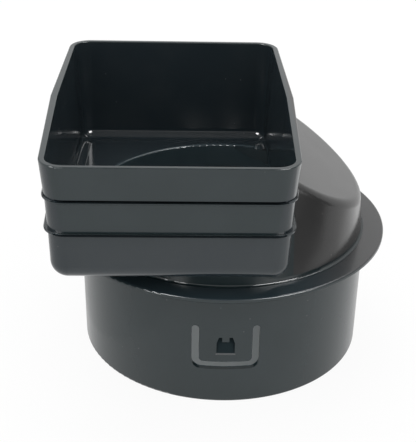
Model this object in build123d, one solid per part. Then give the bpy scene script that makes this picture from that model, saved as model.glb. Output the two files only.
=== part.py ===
from build123d import *
import math
import os

# Offset downspout adapter, one moulded piece. Millimetres, +Z up.
# Origin: centre of the round collar's mouth, on the surface that the adapter stands on.
# The rectangular socket is moved to -X; the leaning hood closes the round neck on the +X side.

STANDING = (Align.CENTER, Align.CENTER, Align.MIN)

# Round collar that slips over 4 inch corrugated pipe
COLLAR_BORE_R = 59.3
COLLAR_R_MOUTH = 61.5
COLLAR_R_TOP = 61.9
MOUTH_EDGE = 1.2
STOP_Z = 52.8  # the pipe's end meets the smaller neck here

# Flange round the top of the collar
FLANGE_R = 70.2
FLANGE_TOP = 55.0
FLANGE_T = 2.2
FLANGE_EDGE = 0.7

# Neck and hood. The hood is a leaning cone: going up, its circle shrinks and moves to +X
NECK_R = 60.5
NECK_WALL = 2.5
NECK_CREASE = 0.8
NECK_TOP_Z = 66.0  # within the rounded underside of the socket
BORE_TOP_Z = 66.5  # clears the foot of the socket's +X wall
HOOD_FOOT_Z = 56.8
HOOD_TALL = 44.0
HOOD_SHRINK = 0.505  # radius lost per mm of height
HOOD_SHIFT = 0.417  # move of the centre per mm of height
HOOD_ARC = 68.0  # degrees to each side of +X; past them the wall runs out flat into the round neck
ROOF_LOW_Z = 69.8  # height of the roof's plane over the neck's +X side
ROOF_SLOPE = 0.633
HOOD_EDGE = 4.8
HOOD_FROM_X = 21.0  # inside the socket's +X wall

# Rectangular socket: each side wall is bowed, widest at the mould's parting plane Y = 0
RIM_Z = 111.0
FLOOR_Z = 64.0
UNDERSIDE_Z = 62.0
HALF_DEPTH = 71.5
LEFT_CORNER_X = -70.4
RIGHT_CORNER_X = 25.9
OUTER_BOW = 2.3
WALL = 2.2
INNER_BOW = 1.6
CORNER_R = 9.5
UNDER_EDGE = 6.5
FLOOR_EDGE = 4.6
FLOOR_INSET = 4.3  # the inside at floor level, measured in from the rim's outline
RIM_EDGE = 0.45
OPENING_EDGE = 0.8  # rounding of the floor round its opening
OPENING_EDGE_TO_X = 16.0  # the floor is level up to here

# Three bands, each drawn in towards its lower edge: (z low, inset low, z high, inset high)
BANDS = [(96.9, 1.2, RIM_Z, 0.0), (83.4, 1.9, 96.9, 1.4), (UNDERSIDE_Z, 2.5, 83.4, 2.0)]
# Thin ledges that stand out between the bands: (z of the upper face, inset)
LEDGES = [(96.9, 0.5), (83.4, 0.6)]
LEDGE_T = 1.2
LEDGE_EDGE = 0.35

# Snap latch, one in the front and one in the back of the collar
LATCH_W = 27.6
LATCH_LOW_Z = 16.4
LATCH_HIGH_Z = 37.1
SLOT_W = 3.0
SLOT_FOOT_W = 3.7  # the slot is wider under the tab
SLOT_CORNER_R = 3.8
POCKET_W = 7.4
POCKET_LOW_Z = 24.1
POCKET_HIGH_Z = 31.9
POCKET_DEPTHS = (0.3, 1.8)  # shallow at its sill and deepest at its top
POCKET_SILL = 0.5
CATCH_W = 9.0
CATCH_STEP = 0.25


def outline(z, inset, bow):
    """Section of the socket at height z: a rounded rectangle with bowed side walls."""
    half = HALF_DEPTH - inset
    left = LEFT_CORNER_X + inset
    right = RIGHT_CORNER_X - inset
    points = [
        (left - bow, 0),
        (left, -half),
        (right, -half),
        (right + bow, 0),
        (right, half),
        (left, half),
    ]
    section = Polygon(*points, align=None)
    corners = [v for v in section.vertices() if abs(v.Y) > 1]
    section = fillet(corners, CORNER_R - inset)
    return Plane.XY.offset(z) * section


def drawn_band(z_low, inset_low, z_high, inset_high, bow):
    """Solid between two heights, its walls leaning out towards the top as the mould needs."""
    height = z_high - z_low
    lean = math.degrees(math.atan2(inset_low - inset_high, height))
    return extrude(outline(z_low, inset_low, bow), height, taper=-lean)


def edges_at(shape, z, tolerance=0.01):
    """Edges that lie flat at height z."""
    found = []
    for edge in shape.edges():
        box = edge.bounding_box()
        if abs(box.min.Z - z) < tolerance and abs(box.max.Z - z) < tolerance:
            found.append(edge)
    return found


def socket_outside():
    """Three drawn-in bands and the two ledges between them."""
    solids = []
    for z_low, inset_low, z_high, inset_high in BANDS:
        band = drawn_band(z_low, inset_low, z_high, inset_high, OUTER_BOW)
        if z_low == UNDERSIDE_Z:
            band = fillet(edges_at(band, UNDERSIDE_Z), UNDER_EDGE)
        solids.append(band)
    for z_top, inset in LEDGES:
        ledge = extrude(outline(z_top - LEDGE_T, inset, OUTER_BOW), LEDGE_T)
        rims = edges_at(ledge, z_top) + edges_at(ledge, z_top - LEDGE_T)
        solids.append(chamfer(rims, LEDGE_EDGE))
    outside = solids[0]
    for solid in solids[1:]:
        outside += solid
    return outside


def socket_inside():
    """Hollow of the socket, narrowing to its floor."""
    hollow = drawn_band(FLOOR_Z, FLOOR_INSET, RIM_Z, WALL, INNER_BOW)
    return fillet(edges_at(hollow, FLOOR_Z), FLOOR_EDGE)


def leaning_cone(inset, from_x, foot_z):
    """Cone whose circle shrinks and moves to +X going up, run out in flat sides to from_x."""
    angle = math.radians(HOOD_ARC)
    sections = []
    for z in (foot_z, HOOD_FOOT_Z + HOOD_TALL):
        rise = z - HOOD_FOOT_Z
        radius = NECK_R - inset - HOOD_SHRINK * rise
        centre = HOOD_SHIFT * rise
        x = centre + radius * math.cos(angle)
        y = radius * math.sin(angle)
        y_far = y + (x - from_x) / math.tan(angle)
        arc = ThreePointArc((x, -y), (centre + radius, 0), (x, y))
        sides = Polyline((x, y), (from_x, y_far), (from_x, -y_far), (x, -y))
        sections.append(Plane.XY.offset(z) * make_face(arc + sides))
    return loft(sections, ruled=True)


def upright(radius, low_z, high_z, to_x=None):
    """Upright cylinder round the origin's axis, cut off past to_x where that is given."""
    column = Pos(0, 0, low_z) * Rot(0, 0, 160) * Cylinder(radius, high_z - low_z, align=STANDING)
    if to_x is None:
        return column
    reach = 2 * radius
    return column & Pos(to_x - reach / 2, 0, low_z) * Box(reach, reach, high_z - low_z, align=STANDING)


def neck(radius, inset, low_z, high_z):
    """Round neck, its sides flattened where they pass into the hood."""
    return upright(radius, low_z, high_z, HOOD_FROM_X + 1) & leaning_cone(inset, -90, low_z - 1)


def hood(inset, foot_z, edge):
    """Leaning cone cut by the sloping roof, the edge between the two rounded."""
    drop = inset * math.hypot(1.0, ROOF_SLOPE)

    def roof_z(x):
        return ROOF_LOW_Z + ROOF_SLOPE * (NECK_R - x) - drop

    profile = Polygon(
        (HOOD_FROM_X - 1, foot_z - 1),
        (NECK_R + 2, foot_z - 1),
        (NECK_R + 2, roof_z(NECK_R + 2)),
        (HOOD_FROM_X - 1, roof_z(HOOD_FROM_X - 1)),
        align=None,
    )
    body = leaning_cone(inset, HOOD_FROM_X, foot_z) & extrude(Plane.XZ * profile, NECK_R + 5, both=True)
    brim = []
    for e in body.edges():
        points = (e @ 0, e @ 0.5, e @ 1)
        on_roof = all(abs(p.Z - roof_z(p.X)) < 0.01 for p in points)
        if on_roof and max(p.X for p in points) > HOOD_FROM_X + 0.5:
            brim.append(e)
    return fillet(brim, edge)


def collar_and_flange():
    """Collar and flange turned as one profile, with the neck's foot."""
    top = FLANGE_TOP
    e = FLANGE_EDGE
    profile = Polygon(
        (0, 0),
        (COLLAR_R_MOUTH, 0),
        (COLLAR_R_TOP, top - FLANGE_T),
        (FLANGE_R, top - FLANGE_T),
        (FLANGE_R, top),
        (NECK_R, top),
        (NECK_R, HOOD_FOOT_Z),
        (0, HOOD_FOOT_Z),
        align=None,
    )
    upper = [v for v in profile.vertices() if v.X > FLANGE_R - 0.01 and v.Y > top - 0.01]
    profile = fillet(upper, e)
    lower = [v for v in profile.vertices() if v.X > FLANGE_R - 0.01 and v.Y < top - FLANGE_T + 0.01]
    profile = chamfer(lower, e)
    crease = [v for v in profile.vertices() if abs(v.X - NECK_R) < 0.01 and abs(v.Y - top) < 0.01]
    profile = fillet(crease, NECK_CREASE)
    mouth = [v for v in profile.vertices() if abs(v.X - COLLAR_R_MOUTH) < 0.01 and abs(v.Y) < 0.01]
    profile = fillet(mouth, MOUTH_EDGE)
    return Rot(0, 0, 160) * revolve(Plane.XZ * profile, Axis.Z)


def opening_round():
    """Ring that rounds the floor's edge where it falls away into the neck."""
    r = NECK_R - NECK_WALL
    e = OPENING_EDGE
    low = FLOOR_Z - e
    edges = Polyline((r, low), (r - 0.5, low), (r - 0.5, FLOOR_Z + 0.5), (r + e, FLOOR_Z + 0.5), (r + e, FLOOR_Z))
    bend = e * (1 - math.sqrt(0.5))
    convex = ThreePointArc((r + e, FLOOR_Z), (r + bend, FLOOR_Z - bend), (r, low))
    ring = Rot(0, 0, 160) * revolve(Plane.XZ * make_face(edges + convex), Axis.Z)
    past_floor = Pos(OPENING_EDGE_TO_X, 0, low - 1) * Box(100, 200, 5, align=(Align.MIN, Align.CENTER, Align.MIN))
    return ring - past_floor


def latch_cut():
    """U-shaped slot that frees the tab."""
    arm_z = LATCH_HIGH_Z - SLOT_W / 2
    height = 2 * (arm_z - LATCH_LOW_Z)
    around = RectangleRounded(LATCH_W, height, SLOT_CORNER_R)
    within = RectangleRounded(LATCH_W - 2 * SLOT_W, height - 2 * SLOT_FOOT_W, SLOT_CORNER_R - SLOT_W + 0.8)
    lower_half = Pos(0, -height / 2) * Rectangle(LATCH_W + 2, height)
    slot = Pos(0, arm_z) * ((around - within) & lower_half)
    for side in (-1, 1):
        slot += Pos(side * (LATCH_W - SLOT_W) / 2, arm_z) * Circle(SLOT_W / 2)
    front = Plane.XZ.offset(COLLAR_BORE_R - 8)
    return extrude(front * slot, 16)


def latch_pocket():
    """Notched pocket in the tab's outer face, its back sloping inwards to the top, its sill sloping out."""
    low = POCKET_LOW_Z
    high = POCKET_HIGH_Z
    half = POCKET_W / 2
    outline_points = [
        (-half, low),
        (half, low),
        (half, high - 2.6),
        (half - 0.9, high),
        (1.45, high),
        (1.45, high - 2.1),
        (-1.45, high - 2.1),
        (-1.45, high),
        (0.9 - half, high),
        (-half, high - 2.6),
    ]
    opening = extrude(Plane.XZ.offset(COLLAR_BORE_R - 8) * Polygon(*outline_points, align=None), 16)
    face_r = COLLAR_R_MOUTH + 0.2
    back = Cone(face_r - POCKET_DEPTHS[0], face_r - POCKET_DEPTHS[1], high - low, align=STANDING)
    bar = POCKET_SILL * math.sqrt(2)
    sill = Pos(0, -face_r, low) * Rot(45, 0, 0) * Box(POCKET_W, bar, bar)
    return opening - Pos(0, 0, low) * back + sill


def latch_catch():
    """Low catch on the inner face of the tab, under the pocket, with a ramp below it."""
    r = COLLAR_BORE_R
    ramp = Polygon(
        (-r - 0.8, LATCH_LOW_Z + SLOT_FOOT_W + 0.3),
        (-r + CATCH_STEP, POCKET_LOW_Z - 1.0),
        (-r + CATCH_STEP, POCKET_LOW_Z),
        (-r - 0.8, POCKET_LOW_Z),
        align=None,
    )
    block = extrude(Plane.YZ * ramp, CATCH_W / 2, both=True)
    return block - Pos(0, 0, POCKET_LOW_Z) * Cylinder(r - CATCH_STEP, 20)


def adapter_body():
    bore_r = NECK_R - NECK_WALL
    outside = socket_outside()
    body = outside + collar_and_flange()
    body += neck(NECK_R, 0.0, HOOD_FOOT_Z, NECK_TOP_Z)
    body += hood(0.0, HOOD_FOOT_Z, HOOD_EDGE)
    body -= hood(NECK_WALL, HOOD_FOOT_Z - 1, HOOD_EDGE - NECK_WALL) - outside
    body -= upright(bore_r, 0, HOOD_FOOT_Z)
    body -= neck(bore_r, NECK_WALL, HOOD_FOOT_Z - 1, BORE_TOP_Z)
    body -= socket_inside()
    body -= opening_round()
    body -= upright(COLLAR_BORE_R, 0, STOP_Z)
    body = fillet(edges_at(body, RIM_Z), RIM_EDGE)
    for angle in (0, 180):
        body -= Rot(0, 0, angle) * latch_cut()
        body -= Rot(0, 0, angle) * latch_pocket()
        body += Rot(0, 0, angle) * latch_catch()
    return body


def main():
    os.makedirs("parts", exist_ok=True)
    body = adapter_body()
    solids = body.solids()
    print("solids", len(solids), "volume cm3", round(body.volume / 1000, 1), "valid", body.is_valid)
    print("box", body.bounding_box())
    export_step(solids[0], "parts/adapter_body.step")


main()
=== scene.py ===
"""Looks of an offset downspout adapter: one moulded piece of black plastic on its round collar.

Metres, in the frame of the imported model: +Z up, the rectangular socket is moved to -X and the
hood is on the +X side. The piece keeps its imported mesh. This script gives it its finish, a
camera, a floor and soft light.
"""

import math

import bpy
import numpy as np
from mathutils import Matrix, Vector

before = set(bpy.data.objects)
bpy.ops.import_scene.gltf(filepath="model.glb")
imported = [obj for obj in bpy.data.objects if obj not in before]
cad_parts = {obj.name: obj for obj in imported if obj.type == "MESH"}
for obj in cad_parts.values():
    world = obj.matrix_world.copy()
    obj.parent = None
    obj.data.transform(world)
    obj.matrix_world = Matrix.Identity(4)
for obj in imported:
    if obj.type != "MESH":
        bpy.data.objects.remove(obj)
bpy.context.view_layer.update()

# The photograph's frame and the camera that was fitted to the object's edges
FRAME_W = 416
FRAME_H = 442
FOCAL_PX = 1098.7
CENTRE_PX = (222.27, 252.26)
CAMERA_AT = (-0.01725, -0.43032, 0.27721)
CAMERA_RIGHT = np.array([0.99936, -0.0276, 0.02278])
CAMERA_DOWN = np.array([0.00642, -0.48786, -0.8729])
CAMERA_FORWARD = np.array([0.03521, 0.87248, -0.48737])
SENSOR_MM = 36.0
NEAREST = 0.01
FARTHEST = 20.0

# Places in the adapter that its finish follows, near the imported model's own edges
RIM_Z = 0.1110
UPPER_LEDGE_Z = 0.0969
LOWER_LEDGE_Z = 0.0834
FLOOR_Z = 0.0640
UNDERSIDE_Z = 0.0620
FLANGE_TOP_Z = 0.0550
SOCKET_CENTRE_X = -0.0222
SOCKET_HALF_X = 0.0464
SOCKET_HALF_Y = 0.0693
SOCKET_HALF_DEPTH = 0.0715
SOCKET_BOW = 0.0018
HOOD_BACK_X = 0.0262
HOOD_SHIFT = 0.417
HOOD_SHRINK = 0.505
NECK_WALL_R = 0.0596
BORE_R = 0.0594
COLLAR_R = 0.0613
POCKET_HALF_W = 0.0039
POCKET_LOW_Z = 0.0240
POCKET_HIGH_Z = 0.0318


def span(edge, start, end):
    """Short stretch about an edge, over which one finish passes into the next."""
    return edge + start, edge + end


# Inside of the socket, and the rounded foot of its walls
INNER_SIDE = span(SOCKET_HALF_X, 0.0, 0.0004)
INNER_DEPTH = span(SOCKET_HALF_Y, 0.0, 0.0004)
INSIDE_FROM = (UNDERSIDE_Z, FLOOR_Z)
INSIDE_TO = span(RIM_Z, -0.0012, -0.0002)
FOOT_TO = span(FLOOR_Z, 0.0040, 0.0055)

# Painted shade: the dark line of each ledge, from its lower to its upper limit
PAINTED_LEDGE_SHADE_SPANS = (
    (span(UPPER_LEDGE_Z, -0.0006, -0.0004), span(UPPER_LEDGE_Z, 0.0003, 0.0005)),
    (span(LOWER_LEDGE_Z, -0.0012, -0.0009), span(LOWER_LEDGE_Z, -0.0002, 0.0)),
)

# Hood: its outer side, its foot, painted lighter, and the leaning cone that its wall follows
HOOD_FROM_X = span(HOOD_BACK_X, 0.0, 0.0006)
HOOD_FROM_Z = span(FLANGE_TOP_Z, 0.0010, 0.0025)
HOOD_FOOT_TO = span(FLANGE_TOP_Z, 0.0020, 0.0110)
LEAN_FROM_Z = FLANGE_TOP_Z + 0.0006
LEAN_FROM_X = (0.0200, 0.0206)
LEAN_WALL = span(NECK_WALL_R, 0.0, 0.0003)

# Bore of the collar and the neck, painted lighter
BORE_WALL = span(BORE_R, 0.0, 0.0002)
BORE_TO = span(FLOOR_Z, -0.0005, 0.0005)

# Pocket in the latch's tab, painted dark as shade, and the sill below it, painted as a highlight
POCKET_SIDE = span(POCKET_HALF_W, 0.0, 0.0002)
POCKET_BACK = (0.0596, 0.0598)
POCKET_FACE = span(COLLAR_R, 0.0, 0.0003)
POCKET_FROM = span(POCKET_LOW_Z, 0.0, 0.0002)
POCKET_TO = span(POCKET_HIGH_Z, 0.0, 0.0002)
SILL_FROM = span(POCKET_LOW_Z, -0.0005, -0.0003)
SILL_FACE = (0.0608, 0.0611)

# Flange's upper face, painted lighter, and how its painted tone changes towards +X
FLANGE_FROM_R = (0.0608, 0.0622)
FLANGE_FROM = span(FLANGE_TOP_Z, -0.0006, -0.0001)
FLANGE_TO = span(FLANGE_TOP_Z, 0.0003, 0.0006)
FLANGE_TURN_X = (0.0200, 0.0600)

# Crease between neck and flange, glossy up to where its +X part turns dull
CREASE_FROM_R = (0.0603, 0.0605)
CREASE_TO_R = span(COLLAR_R, 0.0, 0.0003)
CREASE_FROM = span(FLANGE_TOP_Z, -0.0001, 0.0)
CREASE_TO = span(FLANGE_TOP_Z, 0.0008, 0.0012)
CREASE_TURN_X = (0.0360, 0.0400)

# Tones of the plastic, some of them painted light, shade or highlight as said below. A pair is the
# plain tone and that of a rubbed patch
OUTSIDE_TONES = ((0.0135, 0.0230, 0.0255, 1), (0.0160, 0.0260, 0.0290, 1))
HOOD_TONES = ((0.0180, 0.0180, 0.0180, 1), (0.0205, 0.0205, 0.0205, 1))
INSIDE_TONES = ((0.0175, 0.0250, 0.0300, 1), (0.0205, 0.0280, 0.0325, 1))
# Painted light: the bore and the neck are painted lighter and bluer than the rest of the plastic
BORE_PAINTED_LIGHT_TONES = ((0.0400, 0.0620, 0.0720, 1), (0.0460, 0.0690, 0.0790, 1))
# Painted light: the hood is painted lighter towards its foot
HOOD_FOOT_PAINTED_LIGHT = (0.0265, 0.0265, 0.0265, 1)
# Painted light: the flange's upper face is painted lighter than the plastic, bluish where it lies
# in shade under the socket, greyer and lighter towards +X
FLANGE_PAINTED_LIGHT = (0.0240, 0.0380, 0.0460, 1)
FLANGE_TURNED_PAINTED_LIGHT = (0.0325, 0.0330, 0.0340, 1)
# Painted shade: the pocket in the latch's tab is painted near-black
POCKET_PAINTED_SHADE = (0.0120, 0.0180, 0.0205, 1)
# Painted shade: the dark line along each ledge
LEDGE_PAINTED_SHADE = (0.0090, 0.0120, 0.0140, 1)
# Painted highlight: the sill under the pocket is painted light grey
SILL_PAINTED_HIGHLIGHT = (0.1150, 0.1220, 0.1250, 1)
DUST_TONE = (0.10, 0.10, 0.10, 1)
DUST_COVER = 0.35

# Roughness of the plastic outside and inside, and what a zone or mark adds to it
ROUGH_OUTSIDE = 0.20
ROUGH_INSIDE = 0.14
ROUGH_CHANGES = {
    "Foot": -0.08,
    "Patches": 0.05,
    "Dust": 0.30,
    "Pocket": 0.45,
    "Dull crease": 0.35,
    "Glossy crease": -0.15,
}
PLASTIC_IOR = 1.5

# Grain, waves and marks: scales in cells per metre, heights in metres, rarity as a share
GRAIN = {
    "Grain scale": 2600.0,
    "Grain height": 0.000004,
    "Wave scale": 60.0,
    "Wave height": 0.00005,
}
MARKS = {"Patch scale": 45.0, "Dust scale": 420.0, "Dust rarity": 0.965}
NOISE_MIDDLE = 0.5
PATCH_STEP = (0.35, 0.70)
SPECK_STEP = (0.05, 0.16)

# Floor and surroundings
FLOOR_HALF = 4.0
FLOOR_WHITE_SHARE = 0.92
# Grey card of painted shade on the floor inside the collar
CARD_R = 0.0593
CARD_SIDES = 128
CARD_Z = 0.0003
AIM = (0.0, 0.0, 0.06)
WORLD_LIGHT = 0.95
WHITE = (1, 1, 1, 1)


class Tree:
    """Short hand for filling one node tree."""

    # Places of the colour sockets on a Mix node
    MIX_FACTOR = 0
    MIX_FIRST = 6
    MIX_SECOND = 7
    MIX_RESULT = 2

    def __init__(self, node_tree):
        self.nodes = node_tree.nodes
        self.links = node_tree.links

    def add(self, kind, **settings):
        """Adds a node and sets its properties."""
        node = self.nodes.new(kind)
        for name, value in settings.items():
            setattr(node, name, value)
        return node

    def put(self, socket, value):
        """Joins a socket to another, or sets its plain value."""
        if isinstance(value, bpy.types.NodeSocket):
            self.links.new(value, socket)
        else:
            socket.default_value = value

    def maths(self, operation, *values, clamp=False):
        """Result of one Math node."""
        node = self.add("ShaderNodeMath", operation=operation, use_clamp=clamp)
        for socket, value in zip(node.inputs, values):
            self.put(socket, value)
        return node.outputs[0]

    def product(self, result, *factors):
        """All the values multiplied together."""
        for factor in factors:
            result = self.maths("MULTIPLY", result, factor)
        return result

    def opposite(self, mask):
        """1 where the mask is 0, and 0 where it is 1."""
        return self.maths("SUBTRACT", 1.0, mask)

    def distance(self, across, along):
        """Square root of the sum of the two squares."""
        squares = self.product(across, across), self.product(along, along)
        return self.maths("SQRT", self.maths("ADD", *squares))

    def step(self, value, stretch, before=0.0, after=1.0):
        """Smooth step from one result to another while the value passes a stretch."""
        node = self.add("ShaderNodeMapRange", interpolation_type="SMOOTHSTEP")
        labels = ("Value", "From Min", "From Max", "To Min", "To Max")
        for label, given in zip(labels, (value, *stretch, before, after)):
            self.put(node.inputs[label], given)
        return node.outputs["Result"]

    def up_to(self, value, stretch):
        """1 before the stretch and 0 after it."""
        return self.step(value, stretch, 1.0, 0.0)

    def between(self, value, low, high):
        """1 between a lower and an upper stretch."""
        return self.product(self.step(value, low), self.up_to(value, high))

    def noise(self, at, scale, detail, roughness):
        """Noise between 0 and 1, about a middle of one half."""
        node = self.add("ShaderNodeTexNoise")
        labels = ("Vector", "Scale", "Detail", "Roughness")
        for label, given in zip(labels, (at, scale, detail, roughness)):
            self.put(node.inputs[label], given)
        return node.outputs["Fac"]

    def mix(self, factor, first, second):
        """First colour where the factor is 0, second where it is 1."""
        node = self.add("ShaderNodeMix", data_type="RGBA")
        self.put(node.inputs[self.MIX_FACTOR], factor)
        self.put(node.inputs[self.MIX_FIRST], first)
        self.put(node.inputs[self.MIX_SECOND], second)
        return node.outputs[self.MIX_RESULT]


def group(name, numbers, fill):
    """A shader node group, built once.

    Its inputs are the point At and the named numbers, and its outputs are what
    fill(tree, inputs) gives by name.
    """
    made = bpy.data.node_groups.new(name, "ShaderNodeTree")
    made.interface.new_socket("At", in_out="INPUT", socket_type="NodeSocketVector")
    for label in numbers:
        made.interface.new_socket(label, in_out="INPUT", socket_type="NodeSocketFloat")
    tree = Tree(made)
    results = fill(tree, tree.add("NodeGroupInput").outputs)
    for label in results:
        made.interface.new_socket(label, in_out="OUTPUT", socket_type="NodeSocketFloat")
    end = tree.add("NodeGroupOutput")
    for label, value in results.items():
        tree.put(end.inputs[label], value)
    return made


def use(tree, made, at, numbers):
    """Places a node group with its own numbers and returns its outputs by name."""
    node = tree.add("ShaderNodeGroup", node_tree=made)
    tree.put(node.inputs["At"], at)
    for label, value in numbers.items():
        tree.put(node.inputs[label], value)
    return {socket.name: socket for socket in node.outputs}


def bare_material(name):
    """A material with nothing but its output: itself, its tree and its surface socket."""
    material = bpy.data.materials.new(name)
    material.use_nodes = True
    material.node_tree.nodes.clear()
    tree = Tree(material.node_tree)
    return material, tree, tree.add("ShaderNodeOutputMaterial").inputs["Surface"]


def inside_socket(tree, x, y, z):
    """1 within the socket's walls. Its half width grows by the bow towards the plane Y = 0."""
    depth = tree.maths("ABSOLUTE", y)
    side = tree.maths("ABSOLUTE", tree.maths("SUBTRACT", x, SOCKET_CENTRE_X))
    bow = tree.step(depth, (0.0, SOCKET_HALF_DEPTH), SOCKET_BOW, 0.0)
    return tree.product(
        tree.up_to(tree.maths("SUBTRACT", side, bow), INNER_SIDE),
        tree.up_to(depth, INNER_DEPTH),
        tree.between(z, INSIDE_FROM, INSIDE_TO),
    )


def outside_hood(tree, x, y, z):
    """1 outside the hood's leaning cone, whose circle shrinks and moves to +X as it rises."""
    rise = tree.maths("MAXIMUM", tree.maths("SUBTRACT", z, LEAN_FROM_Z), 0.0)
    from_middle = tree.maths("SUBTRACT", x, tree.product(rise, HOOD_SHIFT))
    shrunk = tree.product(rise, HOOD_SHRINK)
    radius = tree.maths("ADD", tree.distance(from_middle, y), shrunk)
    return tree.product(tree.step(x, LEAN_FROM_X), tree.step(radius, LEAN_WALL))


def fill_zones(tree, given):
    """Masks of the adapter's surfaces, 1 on the surface and 0 elsewhere.

    Hood foot and Flange turn only say how far a tone has changed, all over the part. The bore,
    flange and hood foot masks carry painted light, the pocket and ledge masks painted shade, the
    sill mask a painted highlight.
    """
    split = tree.add("ShaderNodeSeparateXYZ")
    tree.put(split.inputs[0], given["At"])
    x, y, z = split.outputs
    radius = tree.distance(x, y)

    inside = inside_socket(tree, x, y, z)
    hood = tree.product(tree.step(x, HOOD_FROM_X), tree.step(z, HOOD_FROM_Z))
    lines = tree.maths("ADD", *(tree.between(z, *limits) for limits in PAINTED_LEDGE_SHADE_SPANS))
    bare_side = tree.opposite(tree.maths("MAXIMUM", inside, hood))
    bore = tree.product(tree.up_to(radius, BORE_WALL), tree.up_to(z, BORE_TO))
    pocket_width = tree.up_to(tree.maths("ABSOLUTE", x), POCKET_SIDE)
    pocket_depth = tree.between(radius, POCKET_BACK, POCKET_FACE)
    sill_height = tree.between(z, SILL_FROM, POCKET_FROM)
    flange_height = tree.between(z, FLANGE_FROM, FLANGE_TO)
    crease = tree.product(
        tree.between(radius, CREASE_FROM_R, CREASE_TO_R), tree.between(z, CREASE_FROM, CREASE_TO)
    )
    dull_crease = tree.product(crease, tree.step(x, CREASE_TURN_X))
    return {
        "Inside": inside,
        "Foot": tree.product(inside, tree.up_to(z, FOOT_TO)),
        "Bore": tree.product(bore, tree.opposite(outside_hood(tree, x, y, z))),
        "Pocket": tree.product(pocket_width, pocket_depth, tree.between(z, POCKET_FROM, POCKET_TO)),
        "Painted sill highlight": tree.product(pocket_width, sill_height, tree.step(radius, SILL_FACE)),
        "Painted ledge shade": tree.product(lines, bare_side),
        "Hood": hood,
        "Hood foot": tree.up_to(z, HOOD_FOOT_TO),
        "Flange": tree.product(tree.step(radius, FLANGE_FROM_R), flange_height),
        "Flange turn": tree.step(x, FLANGE_TURN_X),
        "Glossy crease": tree.maths("SUBTRACT", crease, dull_crease),
        "Dull crease": dull_crease,
    }


def fill_grain(tree, given):
    """Height of the skin in metres: fine mould grain and slow waves, each about its middle."""
    fine = tree.noise(given["At"], given["Grain scale"], detail=3.0, roughness=0.6)
    slow = tree.noise(given["At"], given["Wave scale"], detail=1.0, roughness=0.4)
    height = tree.product(tree.maths("SUBTRACT", fine, NOISE_MIDDLE), given["Grain height"])
    wave = tree.product(tree.maths("SUBTRACT", slow, NOISE_MIDDLE), given["Wave height"])
    return {"Height": tree.maths("ADD", height, wave)}


def fill_marks(tree, given):
    """Soft cloudy patches where the skin is rubbed, and sparse specks of dust."""
    cloud = tree.noise(given["At"], given["Patch scale"], detail=4.0, roughness=0.55)
    cell = tree.add("ShaderNodeTexVoronoi", feature="F1")
    tree.put(cell.inputs["Vector"], given["At"])
    tree.put(cell.inputs["Scale"], given["Dust scale"])
    pick = tree.add("ShaderNodeSeparateColor")
    tree.put(pick.inputs[0], cell.outputs["Color"])
    few = tree.maths("GREATER_THAN", pick.outputs[0], given["Dust rarity"])
    speck = tree.up_to(cell.outputs["Distance"], SPECK_STEP)
    return {"Patches": tree.step(cloud, PATCH_STEP), "Dust": tree.product(few, speck)}


zones = group("adapter_zones", (), fill_zones)
grain = group("moulded_grain", GRAIN, fill_grain)
handling = group("handling_marks", MARKS, fill_marks)


def plastic_tone(tree, where):
    """Colour of each zone laid over the outside's, with dust on top. Painted light in the bore, on
    the flange and at the hood's foot, painted shade in the pocket and the ledge lines, and a
    painted highlight on the sill.
    """
    patches = where["Patches"]
    # Painted light at the hood's foot and on the flange
    hood = tree.mix(where["Hood foot"], tree.mix(patches, *HOOD_TONES), HOOD_FOOT_PAINTED_LIGHT)
    flange = tree.mix(where["Flange turn"], FLANGE_PAINTED_LIGHT, FLANGE_TURNED_PAINTED_LIGHT)
    tone = tree.mix(patches, *OUTSIDE_TONES)
    for zone, laid in (
        ("Hood", hood),
        ("Flange", flange),
        ("Inside", tree.mix(patches, *INSIDE_TONES)),
        # Painted light in the bore, painted shade in the pocket and ledge lines, a painted
        # highlight on the sill
        ("Bore", tree.mix(patches, *BORE_PAINTED_LIGHT_TONES)),
        ("Pocket", POCKET_PAINTED_SHADE),
        ("Painted ledge shade", LEDGE_PAINTED_SHADE),
        ("Painted sill highlight", SILL_PAINTED_HIGHLIGHT),
    ):
        tone = tree.mix(where[zone], tone, laid)
    return tree.mix(tree.product(where["Dust"], DUST_COVER), tone, DUST_TONE)


def moulded_black_plastic():
    """Glossy black plastic, a little glossier inside the socket, with grain, patches and dust.

    The pocket and the ledges' dark lines are painted shade, metallic with a near-black tone, which
    takes the gloss off them. The sill carries a painted highlight, and the bore, flange and hood
    foot painted light.
    """
    material, tree, surface = bare_material("moulded_black_plastic")
    skin = tree.add("ShaderNodeBsdfPrincipled")
    tree.put(surface, skin.outputs[0])
    at = tree.add("ShaderNodeTexCoord").outputs["Object"]
    where = use(tree, zones, at, {}) | use(tree, handling, at, MARKS)
    rough = tree.step(where["Inside"], (0.0, 1.0), ROUGH_OUTSIDE, ROUGH_INSIDE)
    for zone, change in ROUGH_CHANGES.items():
        rough = tree.maths("MULTIPLY_ADD", where[zone], change, rough, clamp=True)
    bump = tree.add("ShaderNodeBump")
    tree.put(bump.inputs["Distance"], 1.0)
    tree.put(bump.inputs["Strength"], 1.0)
    tree.put(bump.inputs["Height"], use(tree, grain, at, GRAIN)["Height"])
    tree.put(skin.inputs["Base Color"], plastic_tone(tree, where))
    tree.put(skin.inputs["Roughness"], rough)
    # Metallic takes the gloss off the painted shade of the pocket and the ledge lines
    tree.put(skin.inputs["Metallic"], tree.maths("MAXIMUM", where["Pocket"], where["Painted ledge shade"]))
    tree.put(skin.inputs["IOR"], PLASTIC_IOR)
    tree.put(skin.inputs["Normal"], bump.outputs[0])
    return material


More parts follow.
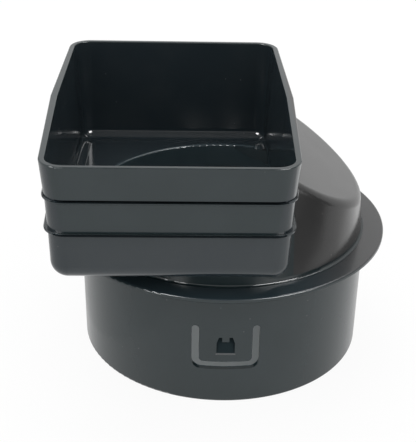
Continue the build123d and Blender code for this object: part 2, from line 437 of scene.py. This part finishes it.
def photograph_camera():
    """Camera at the photograph's viewing angle, its centre moved as the photograph is cropped."""
    data = bpy.data.cameras.new("camera")
    long_side = max(FRAME_W, FRAME_H)
    data.sensor_width = SENSOR_MM
    data.lens = FOCAL_PX * SENSOR_MM / long_side
    data.shift_x = -(CENTRE_PX[0] - FRAME_W / 2) / long_side
    data.shift_y = (CENTRE_PX[1] - FRAME_H / 2) / long_side
    data.clip_start = NEAREST
    data.clip_end = FARTHEST
    camera = bpy.data.objects.new("camera", data)
    bpy.context.scene.collection.objects.link(camera)
    pose = np.eye(4)
    pose[:3, :3] = np.column_stack([CAMERA_RIGHT, -CAMERA_DOWN, -CAMERA_FORWARD])
    pose[:3, 3] = CAMERA_AT
    camera.matrix_world = Matrix(pose.tolist())
    bpy.context.scene.camera = camera


def hide_from(thing, rays):
    """Leaves an object out of what the named kinds of ray meet."""
    for ray in rays:
        setattr(thing, "visible_" + ray, False)


def flat_sheet(name, corners, material, hidden_from=()):
    """One flat sheet with straight sides."""
    mesh = bpy.data.meshes.new(name)
    mesh.from_pydata([tuple(corner) for corner in corners], [], [tuple(range(len(corners)))])
    mesh.materials.append(material)
    sheet = bpy.data.objects.new(name, mesh)
    bpy.context.scene.collection.objects.link(sheet)
    hide_from(sheet, hidden_from)


def level_sheet(name, along_x, along_y, z, material, hidden_from=()):
    """Level rectangle between two places along X and two along Y."""
    (left, right), (near, far) = along_x, along_y
    corners = [(left, near, z), (right, near, z), (right, far, z), (left, far, z)]
    flat_sheet(name, corners, material, hidden_from)


def upright_sheet(name, start, end, low, high, material, hidden_from=()):
    """Upright rectangle between two points of the floor plan."""
    corners = [(*start, low), (*end, low), (*end, high), (*start, high)]
    flat_sheet(name, corners, material, hidden_from)


def round_card(name, radius, z, material):
    """Level disc about the Z axis, its edge worked out as a circle of equal steps."""
    turn = np.linspace(0.0, 2 * math.pi, CARD_SIDES, endpoint=False)
    edge = np.column_stack([radius * np.cos(turn), radius * np.sin(turn), np.full(CARD_SIDES, z)])
    flat_sheet(name, edge.tolist(), material)


def seen_or_mirrored(tree):
    """1 for what is seen straight, mirrored or through glass, 0 for the light that it gives."""
    path = tree.add("ShaderNodeLightPath")
    seen = tree.maths("MAXIMUM", path.outputs["Is Camera Ray"], path.outputs["Is Glossy Ray"])
    return tree.maths("MAXIMUM", seen, path.outputs["Is Transmission Ray"])


def paper(name, red, green, blue, white_share=0.0):
    """Matt paper or cloth. A share of what is seen of it is plain white, for soft shadows."""
    material, tree, surface = bare_material(name)
    matt = tree.add("ShaderNodeBsdfDiffuse")
    tree.put(matt.inputs["Color"], (red, green, blue, 1))
    white = tree.add("ShaderNodeEmission")
    both = tree.add("ShaderNodeMixShader")
    share = tree.product(seen_or_mirrored(tree), white_share)
    for socket, value in zip(both.inputs, (share, matt.outputs[0], white.outputs[0])):
        tree.put(socket, value)
    tree.put(surface, both.outputs[0])
    return material


def soft_lamp(name, at, size, power, towards=AIM, hidden_from=()):
    """Soft lamp with a rectangular face, its long side level."""
    data = bpy.data.lights.new(name, "AREA")
    data.shape = "RECTANGLE"
    data.size, data.size_y = size
    data.energy = power
    lamp = bpy.data.objects.new(name, data)
    bpy.context.scene.collection.objects.link(lamp)
    lamp.location = at
    lamp.rotation_mode = "QUATERNION"
    lamp.rotation_quaternion = (Vector(at) - Vector(towards)).to_track_quat("Z", "Y")
    hide_from(lamp, hidden_from)


def floor():
    """White floor, and a grey card under the bore: painted shade that stands in for the shade on
    the floor inside the collar, and darkens what is seen through the slots.
    """
    across = (-FLOOR_HALF, FLOOR_HALF)
    white = paper("floor_paper", 0.93, 0.93, 0.93, FLOOR_WHITE_SHARE)
    level_sheet("floor", across, across, z=0.0, material=white)
    round_card("painted_shade_card", CARD_R, CARD_Z, paper("shade_card_paper", 0.285, 0.305, 0.310))


def surroundings():
    """Sheets that are seen only in the gloss of the plastic."""
    unseen = ("camera", "shadow", "diffuse")
    cloth = paper("dark_cloth", 0.25, 0.25, 0.25)
    upright_sheet("dark_curtain", (0.98, -1.05), (1.6, 0.1), 0.0, 0.9, cloth, unseen)
    upright_sheet("dark_card", (0.26, -0.28), (0.26, -0.085), 0.04, 0.14, cloth, unseen)
    grey = paper("grey_ceiling", 0.42, 0.42, 0.42)
    level_sheet("ceiling_sheet", (-1.3, 1.3), (-2.6, 0.4), z=1.3, material=grey, hidden_from=unseen)
    dim = paper("grey_sheet_paper", 0.02, 0.02, 0.02, white_share=0.87)
    level_sheet(
        "grey_sheet", (-0.40, -0.070), (-0.20, 0.20), z=0.0006, material=dim, hidden_from=unseen
    )


def lamps():
    """Broad lamps above and behind, a small glow from the floor, and three glints in the gloss."""
    soft_lamp(
        "lamp_above",
        at=(-0.2, 0.5, 1.5),
        size=(1.2, 1.2),
        power=8.0,
        towards=(0, 0, 0),
        hidden_from=("glossy",),
    )
    soft_lamp("lamp_back", at=(0.45, 1.4, 0.5), size=(1.3, 1.3), power=0.35)
    soft_lamp(
        "lamp_low_right",
        at=(0.20, 0.06, 0.001),
        size=(0.12, 0.12),
        power=0.0226,
        towards=(0.20, 0.06, 1.0),
        hidden_from=("camera",),
    )
    for name, at, size, power in (
        ("lamp_glint_back", (0.44, 0.38, 1.16), (0.50, 0.50), 4.0),
        ("lamp_glint_right", (0.71, -0.74, 0.78), (0.66, 0.40), 20.0),
        ("lamp_glint_left", (-0.76, -0.69, 0.78), (0.66, 0.40), 20.0),
    ):
        soft_lamp(name, at, size, power, hidden_from=("camera", "diffuse"))


def studio_world():
    """White surroundings: full white where they are seen or mirrored, a little less as light."""
    world = bpy.data.worlds.new("studio")
    world.use_nodes = True
    tree = Tree(world.node_tree)
    backdrop = world.node_tree.nodes["Background"]
    tree.put(backdrop.inputs["Color"], WHITE)
    seen = seen_or_mirrored(tree)
    strength = tree.maths("MULTIPLY_ADD", seen, 1.0 - WORLD_LIGHT, WORLD_LIGHT)
    tree.put(backdrop.inputs["Strength"], strength)
    bpy.context.scene.world = world
    bpy.context.scene.view_settings.view_transform = "Standard"


plastic = moulded_black_plastic()
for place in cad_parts["adapter_body"].material_slots:
    place.material = plastic
photograph_camera()
floor()
surroundings()
lamps()
studio_world()
